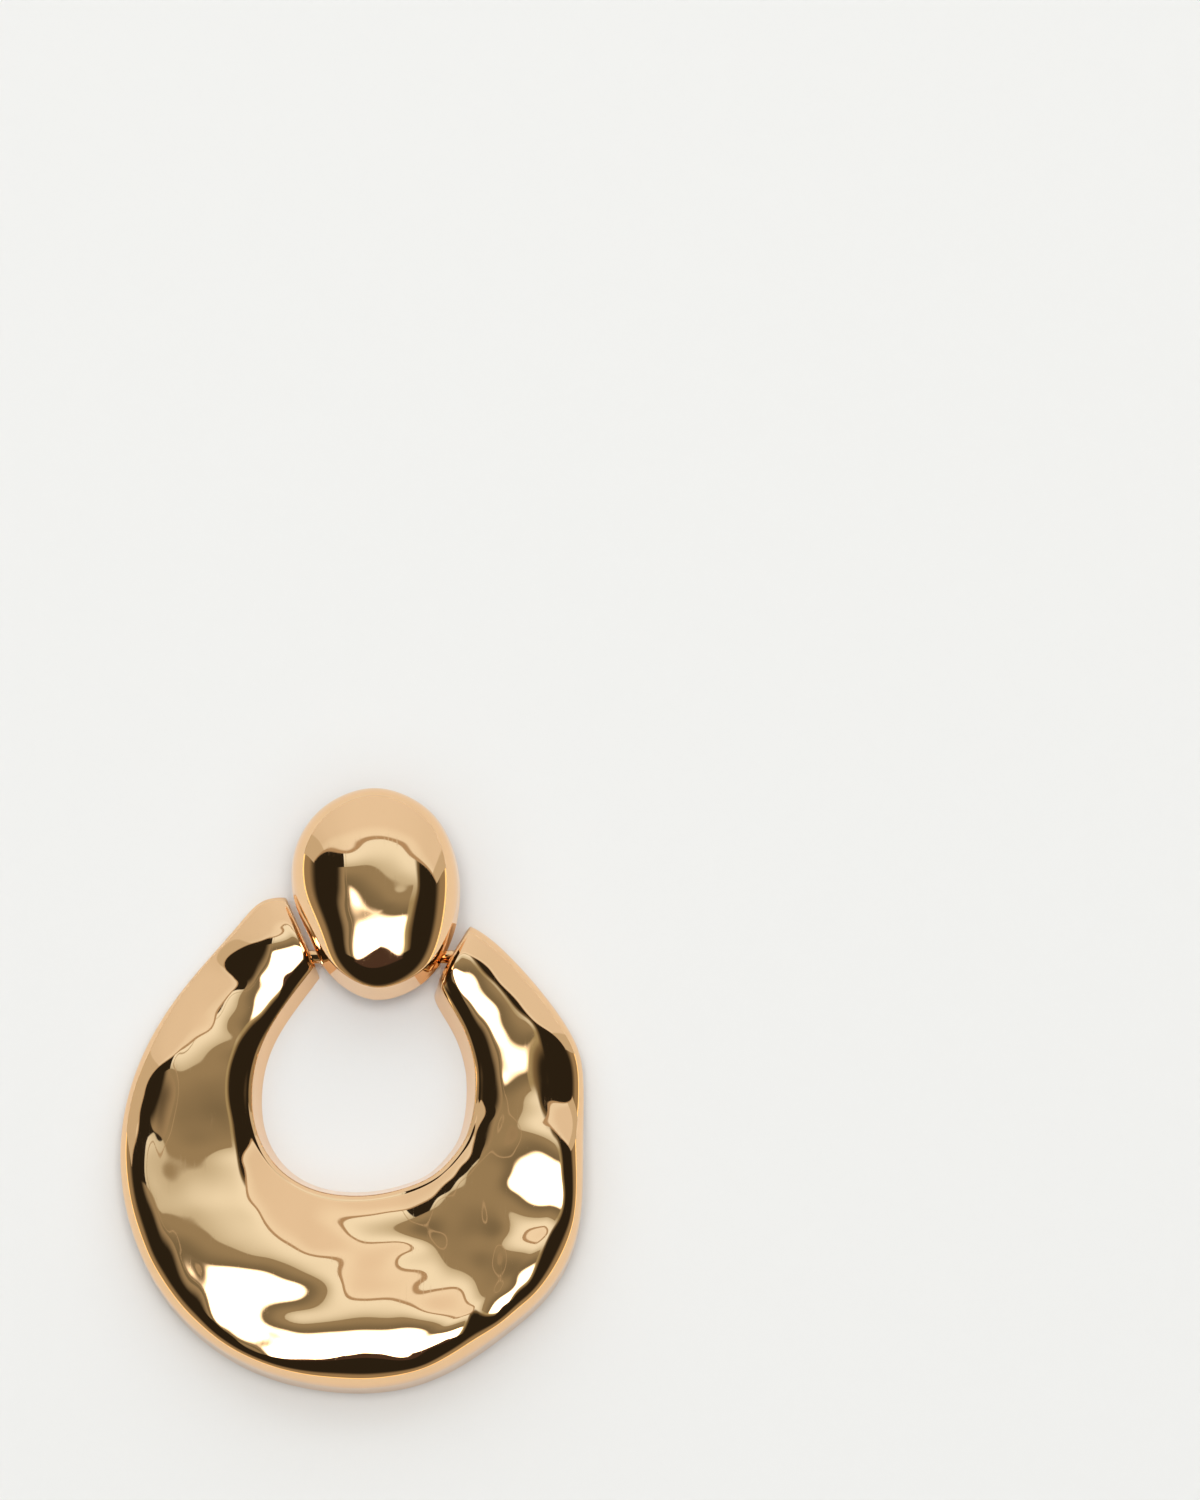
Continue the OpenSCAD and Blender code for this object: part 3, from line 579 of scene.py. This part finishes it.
def gold(name, colour, rough, rub=0.03, wave=0.15):
    """Plated gold with fine rubbed lines in two directions and the last trace of the hammer."""
    paint = Paint(name)
    place = paint.node("ShaderNodeTexCoord").other("Object")
    worn = paint.node("ShaderNodeTexNoise", {}, {
        "Vector": place, "Scale": WEAR_SCALE, "Detail": 3.0})
    rubbed = 0
    for turn in RUB_TURNS:
        lie = paint.node("ShaderNodeMapping", {}, {
            "Vector": place, "Rotation": (0, 0, turn), "Scale": RUB_SCALE})
        line = paint.node("ShaderNodeTexNoise", {}, {"Vector": lie, "Scale": 1.0, "Detail": 1.0})
        rubbed = paint.node("ShaderNodeMapRange", {}, {
            "Value": line, "From Min": RUB_EDGE[0], "From Max": RUB_EDGE[1],
            "To Min": 0, "To Max": 2 * rub}) + rubbed
    dent = paint.node("ShaderNodeTexNoise", {}, {
        "Vector": place, "Scale": HAMMER_SCALE, "Detail": 0.0})
    normal = paint.node("ShaderNodeBump", {}, {
        "Strength": wave, "Distance": HAMMER_DEPTH, "Height": dent})
    return paint.finish(paint.node("ShaderNodeBsdfPrincipled", {}, {
        "Base Color": (*colour, 1), "Metallic": 1.0, "Normal": normal,
        "Roughness": worn * (rub / 2) + rubbed + rough}))


polished = gold("polished_gold", (0.925, 0.61, 0.345), rough=0.02)
ring.data.materials.append(polished)

# The stud is the domed pebble on the ear. It is pressed from the same sheet, closed with a flat
# back plate, and the barrel of the hinge is soldered across under its foot.
stud_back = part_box("ear_clip")[1].z / MM
crown_drop, stud_inset = 3.1, 0.7
crown = np.array([stud_x, stud_y - crown_drop])
STUD_BEND = 2.4
# places from the stud's edge to its crown, those of them that a reading may belong to, and the
# sections that are laid over again where the round closes
STUD_POINTS, STUD_FREE, LAP = 110, slice(18, -1), 2
# where its face is held to its thickness: across and along as shares of half its size
STUD_FACE = [(0, -0.27), (0, 0.4), (-0.5, 0), (0.5, 0), (0, -0.7), (0, 0.8),
             (-0.5, -0.5), (0.5, -0.5), (-0.5, 0.5), (0.5, 0.5)]
# what it mirrors, in rows as the ring's are
STUD_MIRRORS = {
    "along": [
        (345, 855, -17, 34.5), (352, 852, -13, 34.5), (360, 847, -8, 34.5), (370, 841, -4, 34.5),
        (380, 838.5, 0, 34.5), (390, 840, 4, 34.5), (400, 847, 9, 34.5), (410, 858, 13, 34.5),
        (416, 867, 18, 34.5), (335, 852, -38, 34.5), (325, 845, -50, 34.5), (421, 875, 24, 34.5),
        (430, 869, 42, 34.5), (352, 866, -12, 25), (360, 863, -8, 25), (370, 862, -4, 25),
        (380, 866, 0, 25), (387, 873, 4, 25), (393, 882, 8, 25), (400, 893, 11, 25), (408, 899, 14, 25),
        (352, 882, -14, 10), (358, 893, -11, 10), (363, 905, -9, 10), (368, 912, -6, 10),
        (376, 914, -2, 10), (385, 913, 3, 10), (395, 914, 8, 10), (405, 916, 14, 10),
    ],
    "across": [
        (350, 890, -16, 6), (352, 905, -16, 4), (355, 925, -16, -1), (354, 945, -16, -7),
        (407, 920, 16, 8), (405, 935, 16, 0), (404, 950, 16, -8), (347, 878, -22, 17),
        (345, 895, -22, 10), (343, 915, -25, 4), (420, 882, 21, 30), (419, 892, 21, 25),
        (416, 905, 21, 18), (413, 925, 22, 5),
    ],
    "both": [
        (345, 848, -18, 38), (338, 845, -30, 38), (330, 838, -36, 40), (348, 862, -16, 28),
        (408, 865, 12, 30), (415, 880, 17, 27), (412, 872, 15, 30), (425, 860, 30, 38),
        (415, 855, 16, 38), (432, 858, 45, 39), (358, 962, -13, -13), (401, 958, 13, -13),
        (380, 943, 0, -9), (380, 955, 0, -14), (370, 953, -6, -11), (391, 953, 7, -12),
        (356, 900, -12, 6), (354, 893, -13, 6),
    ],
    "patch": [
        (375, 885, -2, 17), (385, 895, 3, 15), (385, 850, 2, 30),
    ],
    "hint": [
        (312, 837, -62, 37), (437, 865, 60, 36), (380, 960, 0, -17), (380, 975, 0, -38),
        (360, 975, -25, -35), (405, 970, 25, -35),
    ],
}


def dome_section(row):
    """Places from the stud's foot to its crown, and their shares of the height: x, y, share."""
    foot, crease, full = row[:2] - crown, row[2], row[3]
    long = np.linalg.norm(foot)
    inset = stud_inset * crease / STUD_OUTLINE[0][2]
    soft = SOFT_CREASE * crease
    u = np.cos(np.linspace(0, math.pi / 2, STUD_POINTS + 1))[:-1] * (1 - soft / (long - inset))
    place = long - (long - inset) * u
    share = (1 - (1 - crease ** STUD_BEND) * u ** full) ** (1 / STUD_BEND)
    wall, rise = softened(place, share, (inset, crease), soft)
    reach = 1 - np.concatenate([wall, place]) / long
    return np.column_stack([crown + foot * reach[:, None], np.concatenate([rise, share])])


edge = eased(stud_edge(), STUD_EASE, closed=True)
stud_grid = np.stack([dome_section(row) for row in edge])
lapped = np.concatenate([stud_grid[-LAP:], stud_grid, stud_grid[:LAP]])
inner = slice(LAP, -LAP)
stud_heights = [(stud_x + a * stud_w / 2, stud_y + b * stud_l / 2, stud_t) for a, b in STUD_FACE]
stud_face = planish(lapped, (inner, STUD_FREE), STUD_MIRRORS, stud_heights, stud_back)[inner]
stud_grid[..., 2] = stud_back + stud_grid[..., 2] * stud_face
stud = skin("stud_dome", stud_grid.transpose(1, 0, 2))

pin_r, pin_seat, pin_clear, barrel_wall = 0.7, 2, 0.06, 0.5
barrel_r = pin_r + pin_clear + barrel_wall
# the broken edge of pin and barrel, and how far the lug goes into the stud's back
chamfer, lug_bite = 0.12, 0.3
ROUND_POINTS, TINY = 64, 1e-9
turn = np.linspace(0, 2 * math.pi, ROUND_POINTS + 1)[:-1]
around = np.column_stack([np.cos(turn), np.sin(turn)])


def across_hinge(x, outline):
    """A loop about the hinge line at x: its outline is given along and up."""
    return np.column_stack([
        np.full(len(outline), x), hinge_y + outline[:, 0], hinge_z + outline[:, 1]])


def lug_outline(inset=0.0):
    """The outline of the barrel with its lug: round below, straight sides up to the stud's back."""
    wide, tall = barrel_r - inset, stud_back + lug_bite - hinge_z
    across, up = around.T
    reach = np.minimum(wide / np.maximum(abs(across), TINY), tall / np.maximum(up, TINY))
    return around * np.where(up > 0, reach, wide)[:, None]


def end_of_barrel(end):
    side, lean = end[:2]
    return end_x[side] - side * (barrel_r * math.tan(math.radians(lean)) + end_gap)


west, east = end_of_barrel(LEFT_END), end_of_barrel(RIGHT_END)
bore = around * (pin_r + pin_clear)
barrel = skin("stud_barrel", [
    across_hinge(west, bore), across_hinge(west, lug_outline(chamfer)),
    across_hinge(west + chamfer, lug_outline()), across_hinge(east - chamfer, lug_outline()),
    across_hinge(east, lug_outline(chamfer)), across_hinge(east, bore)], ends=())
for part in (stud, barrel):
    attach(part, "stud")
    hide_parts("stud")
    part.data.materials.append(polished)

# The hinge pin is a plain drawn rod with broken edges, plated like the rest but not polished as
# high. It sits fast in both ends of the ring, whose mesh has no seats cut for it, and runs through
# the barrel.
plain = gold("fittings_gold", (0.93, 0.6, 0.32), rough=0.12)
pin_ends = [end_x[side] + side * (pin_seat - end_gap / 2) for side in (-1, 1)]
pin = skin("hinge_pin", [across_hinge(x, around * r) for x, r in (
    (pin_ends[0], pin_r - chamfer), (pin_ends[0] + chamfer, pin_r),
    (pin_ends[1] - chamfer, pin_r), (pin_ends[1], pin_r - chamfer))])
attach(pin, "ring")
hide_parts("hinge_pin")
pin.data.materials.append(plain)

# The ear clip is a plain bent strip with a round paddle. Its foot is soldered to the back of the
# stud, its leg turns down beside the barrel, and its arm runs back under the stud to the paddle.
clip_t, clip_w, paddle_r, foot_l = 0.8, 5, 4, 2.4
strip_bend, strip_edge = 1.1, 0.25
BEND_STEPS, ROUNDING_STEPS, ROLL_STEPS, STRIP_SHARP = 10, 5, 12, 40


def strip_nodes(surface):
    """Sweeps a flat strip with rounded edges along a path of straight runs, and rounds its bends."""
    tree = bpy.data.node_groups.new("bent_strip", "GeometryNodeTree")
    tree.interface.new_socket("Path", in_out="INPUT", socket_type="NodeSocketGeometry")
    sizes = {name: tree.interface.new_socket(
        name, in_out="INPUT", socket_type="NodeSocketFloat").identifier
        for name in ("Width", "Thickness", "Bend", "Edge")}
    tree.interface.new_socket("Strip", in_out="OUTPUT", socket_type="NodeSocketGeometry")
    given = tree.nodes.new("NodeGroupInput")

    def node(kind, settings, links):
        made = tree.nodes.new(kind)
        for key, value in settings.items():
            if key in made.inputs:
                made.inputs[key].default_value = value
            else:
                setattr(made, key, value)
        for key, socket in links.items():
            tree.links.new(socket, made.inputs[key])
        return made.outputs[0] if made.outputs else None

    path = node("GeometryNodeMeshToCurve", {}, {"Mesh": given.outputs["Path"]})
    path = node("GeometryNodeFilletCurve", {"mode": "POLY", "Count": BEND_STEPS}, {
        "Curve": path, "Radius": given.outputs["Bend"]})
    shape = node("GeometryNodeCurvePrimitiveQuadrilateral", {}, {
        "Width": given.outputs["Width"], "Height": given.outputs["Thickness"]})
    shape = node("GeometryNodeFilletCurve", {"mode": "POLY", "Count": ROUNDING_STEPS}, {
        "Curve": shape, "Radius": given.outputs["Edge"]})
    strip = node("GeometryNodeCurveToMesh", {"Fill Caps": True}, {
        "Curve": path, "Profile Curve": shape})
    strip = node("GeometryNodeRealizeInstances", {}, {"Geometry": strip})
    strip = node("GeometryNodeSetMaterial", {"Material": surface}, {"Geometry": strip})
    node("NodeGroupOutput", {}, {"Strip": strip})
    return tree, sizes


def swept(name, path, tree, values):
    """Runs the nodes over a path and keeps the mesh that comes out."""
    mesh = bpy.data.meshes.new(name)
    mesh.from_pydata([tuple((p + hole_middle) * MM) for p in path],
                     [(k, k + 1) for k in range(len(path) - 1)], [])
    made = bpy.data.objects.new(name, mesh)
    bpy.context.scene.collection.objects.link(made)
    work = made.modifiers.new("strip", "NODES")
    work.node_group = tree
    for key, value in values.items():
        work[key] = value
    worked = made.evaluated_get(bpy.context.evaluated_depsgraph_get())
    made.data = bpy.data.meshes.new_from_object(worked)
    made.modifiers.remove(work)
    return made


leg_y = hinge_y + barrel_r + clip_t
top, bottom = stud_back - clip_t / 2, clip_t / 2
tree, sizes = strip_nodes(plain)
path = np.array([(stud_x, leg_y + clip_t / 2 + foot_l, top), (stud_x, leg_y, top),
                 (stud_x, leg_y, bottom), (stud_x, stud_y, bottom)])
strip = swept("clip_strip", path, tree, {
    sizes["Width"]: clip_w * MM, sizes["Thickness"]: clip_t * MM,
    sizes["Bend"]: strip_bend * MM, sizes["Edge"]: strip_edge * MM})
strip.data.shade_smooth()
strip.data.set_sharp_from_angle(angle=math.radians(STRIP_SHARP))
# the paddle has a rolled edge: height over its underside and how far in from its edge
roll = [(clip_t / 2 * (1 - math.cos(a)), clip_t / 2 * (1 - math.sin(a)))
        for a in np.linspace(0, math.pi, ROLL_STEPS + 1)]
paddle = skin("clip_paddle", [
    np.column_stack([around * (paddle_r - r) + [stud_x, stud_y], np.full(len(around), z)])
    for z, r in roll])
paddle.data.materials.append(plain)
for part in (strip, paddle):
    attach(part, "stud")
    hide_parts("ear_clip")

# The earring lies face up on a white table. A white sweep behind its head reaches up to a ceiling
# cloth, a soft box hangs above, and the rest of the room is dark. The panels overhead are placed by
# the direction in which the earring sees them, in degrees from straight up, the rest in metres.
def stretch(angle):
    return math.tan(math.radians(angle))


def panel(name, corners, surface, seen=False):
    mesh = bpy.data.meshes.new(name)
    mesh.from_pydata(corners, [], [list(range(len(corners)))])
    made = bpy.data.objects.new(name, mesh)
    bpy.context.scene.collection.objects.link(made)
    mesh.materials.append(surface)
    made.visible_camera = seen


def overhead(name, surface, high, west, east, south, north):
    x0, x1, y0, y1 = (stretch(v) * high for v in (west, east, south, north))
    panel(name, [(x0, y0, high), (x0, y1, high), (x1, y1, high), (x1, y0, high)], surface)


def spot(paint):
    """Where a point of a panel lies."""
    x = paint.node("ShaderNodeSeparateXYZ", {}, {0: paint.node("ShaderNodeNewGeometry")})
    return x, x.other(1), x.other(2)


def direction(paint):
    """How far across and along a point of a panel lies from straight up, as slopes."""
    x, y, z = spot(paint)
    return x / z, y / z


def step(paint, value, low, high, at_low=0.0, at_high=1.0):
    return paint.node("ShaderNodeMapRange", {"interpolation_type": "SMOOTHSTEP"}, {
        "Value": value, "From Min": low, "From Max": high, "To Min": at_low, "To Max": at_high})


def fade(paint, slope, none, full):
    """Grows from 0 to 1 between two directions, given in degrees."""
    return step(paint, slope, stretch(none), stretch(full))


def blend(paint, factor, a, b):
    return paint.node("ShaderNodeMix", {"data_type": "RGBA"}, {0: factor, 6: a, 7: b}).other(2)


def shining(paint, colour, strength=1.0, cover=None):
    """A surface that gives light. Where its cover is 0, what lies behind it shows."""
    light = paint.node("ShaderNodeEmission", {}, {"Color": colour, "Strength": strength})
    if cover is not None:
        light = paint.node("ShaderNodeMixShader", {}, {
            0: cover, 1: paint.node("ShaderNodeBsdfTransparent"), 2: light})
    return paint.finish(light)


# the table lies a hair below the earring, so that their faces don't coincide
table_r, table_sink, TABLE_WHITE = 3.0, 0.00002, (0.82, 0.82, 0.82, 1)
table = Paint("table")
panel("table", [(table_r * a, table_r * b, -table_sink) for a, b in around],
      table.finish(table.node("ShaderNodeBsdfDiffuse", {}, {"Color": TABLE_WHITE})), seen=True)

# the soft box fades towards its edges, and the camera stands in front of its near edge, with a
# roof-like top
BOX_WHITE, FRONT_BROWN = (1, 0.98, 0.95, 1), (0.075, 0.05, 0.042, 1)
ROOF_PITCH, ROOF_EDGE = 0.4, (-0.003, 0.018)
box = Paint("soft_box")
u, v = direction(box)
lit = (fade(box, u, -17.5, -11.5) * fade(box, u, 17.5, 11.5)
       * fade(box, v, -14.5, -10) * fade(box, v, 11.5, 6))
overhead("soft_box", shining(box, BOX_WHITE, strength=7.0, cover=lit),
         high=1.38, west=-18, east=18, south=-15, north=12)
front = Paint("camera_front")
u, v = direction(front)
slant = front.node("ShaderNodeMath", {"operation": "ABSOLUTE"}, {0: u}) * ROOF_PITCH
roof = step(front, stretch(-8) - v - slant, *ROOF_EDGE)
overhead("camera_front", shining(front, FRONT_BROWN, cover=roof),
         high=1.25, west=-17, east=17, south=-16, north=-7.5)

# the cloth brightens towards the sweep, a khaki board hangs under its near part, a seam runs along
# its west side, and both its sides sink softly into the dark of the room
cloth = Paint("ceiling_cloth")
u, v = direction(cloth)
CREAM, OLIVE = (0.97, 1.12, 1.2, 1), (0.40, 0.39, 0.27, 1)
KHAKI, KHAKI_LOW = (0.34, 0.32, 0.24, 1), (0.21, 0.2, 0.15, 1)
ROOM, SEAM = (0.025, 0.022, 0.016, 1), (0.46, 0.42, 0.33, 1)
GLOW, DIM = (0.36, 0.33, 0.25, 1), (0.2, 0.17, 0.11, 1)
tint = blend(cloth, fade(cloth, v, 18, 34), OLIVE, CREAM)
board = blend(cloth, fade(cloth, v, 11, 23), KHAKI_LOW, KHAKI)
near = fade(cloth, v, 25.3, 24.7)
tint = blend(cloth, near * fade(cloth, u, 15.5, 14.5), tint, board)
seam = fade(cloth, u, -18.2, -17.9) * fade(cloth, u, -17.5, -17.7)
tint = blend(cloth, seam, tint, SEAM)
far_west = blend(cloth, near, ROOM, blend(cloth, fade(cloth, u, -31, -21), ROOM, GLOW))
tint = blend(cloth, fade(cloth, u, -21, -20.4), far_west, tint)
tint = blend(cloth, fade(cloth, u, 21.2, 17.8), DIM, tint)
tint = blend(cloth, fade(cloth, u, 24.5, 20.5), ROOM, tint)
overhead("ceiling", shining(cloth, tint), high=1.5, west=-31, east=26, south=-13, north=34.9)

# the sweep is brightest along its top, under a brown batten, and its two sides fall into shade
sweep_y, sweep_h, sweep_w = 1.0, 1.44, 2.4
bright_foot, bright_full = 1.12, 1.36
batten_foot, batten_full = sweep_h - 0.07, sweep_h - 0.045
WHITE, BRIGHT, SHADE = (0.86, 0.87, 0.87, 1), (0.95, 1.02, 1.05, 1), (0.62, 0.60, 0.52, 1)
BATTEN = (0.48, 0.4, 0.3, 1)
# between which places across the shade grows, and by how much
SHADES = [(-0.2, -0.7, 0.2), (-0.7, -1.25, 0.2), (-1.27, -1.33, 0.6), (0.2, 0.9, 0.2),
          (1.5, 1.6, 0.8)]
wall = Paint("sweep")
x, _, z = spot(wall)
tint = blend(wall, step(wall, z, bright_foot, bright_full), WHITE, BRIGHT)
shade = sum(step(wall, x, start, end, 0, more) for start, end, more in SHADES)
tint = blend(wall, shade, tint, SHADE)
tint = blend(wall, step(wall, z, batten_foot, batten_full), tint, BATTEN)
panel("sweep", [(-sweep_w, sweep_y, 0), (sweep_w, sweep_y, 0), (sweep_w, sweep_y, sweep_h),
                (-sweep_w, sweep_y, sweep_h)], shining(wall, tint))

# a second soft light whitens the table only: polished metal doesn't show it
fill = bpy.data.objects.new("fill", bpy.data.lights.new("fill", "AREA"))
fill.data.shape, fill.data.size = "SQUARE", 3.0
fill.data.energy = 20
fill.data.color = (0.95, 0.98, 1)
fill.location = (0, 0.1, 1.1)
fill.visible_glossy = False
bpy.context.scene.collection.objects.link(fill)

# past the panels the room is dark above, lighter towards its walls and lit by lamps low down; the
# picture's own white stands behind the table
WALLS, LAMPS, PICTURE_WHITE = (0.34, 0.29, 0.2, 1), (1.5, 1.3, 0.8, 1), (0.871, 0.871, 0.871, 1)
WALL_TOP, WALL_FULL, LAMPS_TOP, LAMPS_FULL = 0.55, 0.3, 0.11, 0.05
room = Paint(bpy.data.worlds.new("room"))
toward = room.node("ShaderNodeTexCoord").other("Generated")
rise = room.node("ShaderNodeSeparateXYZ", {}, {0: toward}).other(2)
tint = blend(room, step(room, rise, WALL_TOP, WALL_FULL), ROOM, WALLS)
tint = blend(room, step(room, rise, LAMPS_TOP, LAMPS_FULL), tint, LAMPS)
seen = room.node("ShaderNodeLightPath").other("Is Camera Ray")
behind = room.node("ShaderNodeBackground", {}, {"Color": blend(room, seen, tint, PICTURE_WHITE)})
bpy.context.scene.world = room.finish(behind, "ShaderNodeOutputWorld")

# The camera looks almost straight down through a long lens, a little from the foot of the ring.
# The earring keeps the place that it has in the picture, so the picture's scale sets the lens.
distance, sensor = 1.3, 36
across = (PHOTO_W / 2 - HOLE_PIXEL[0]) * MM_PER_PIXEL
along = (HOLE_PIXEL[1] - PHOTO_H / 2) * MM_PER_PIXEL / math.sin(look_down)
aim = Vector(((hole_middle[0] + across) * MM, (hole_middle[1] + along) * MM, 0))
backward = Vector((0, -math.cos(look_down), math.sin(look_down)))
lens = bpy.data.cameras.new("camera")
lens.sensor_width = sensor
lens.lens = sensor * distance / (PHOTO_H * MM_PER_PIXEL * MM)
lens.clip_end = 20
camera = bpy.data.objects.new("camera", lens)
camera.location = aim + backward * distance
camera.rotation_mode = "QUATERNION"
camera.rotation_quaternion = (-backward).to_track_quat("-Z", "Y")
bpy.context.scene.collection.objects.link(camera)
bpy.context.scene.camera = camera
bpy.context.scene.view_settings.view_transform = "Standard"
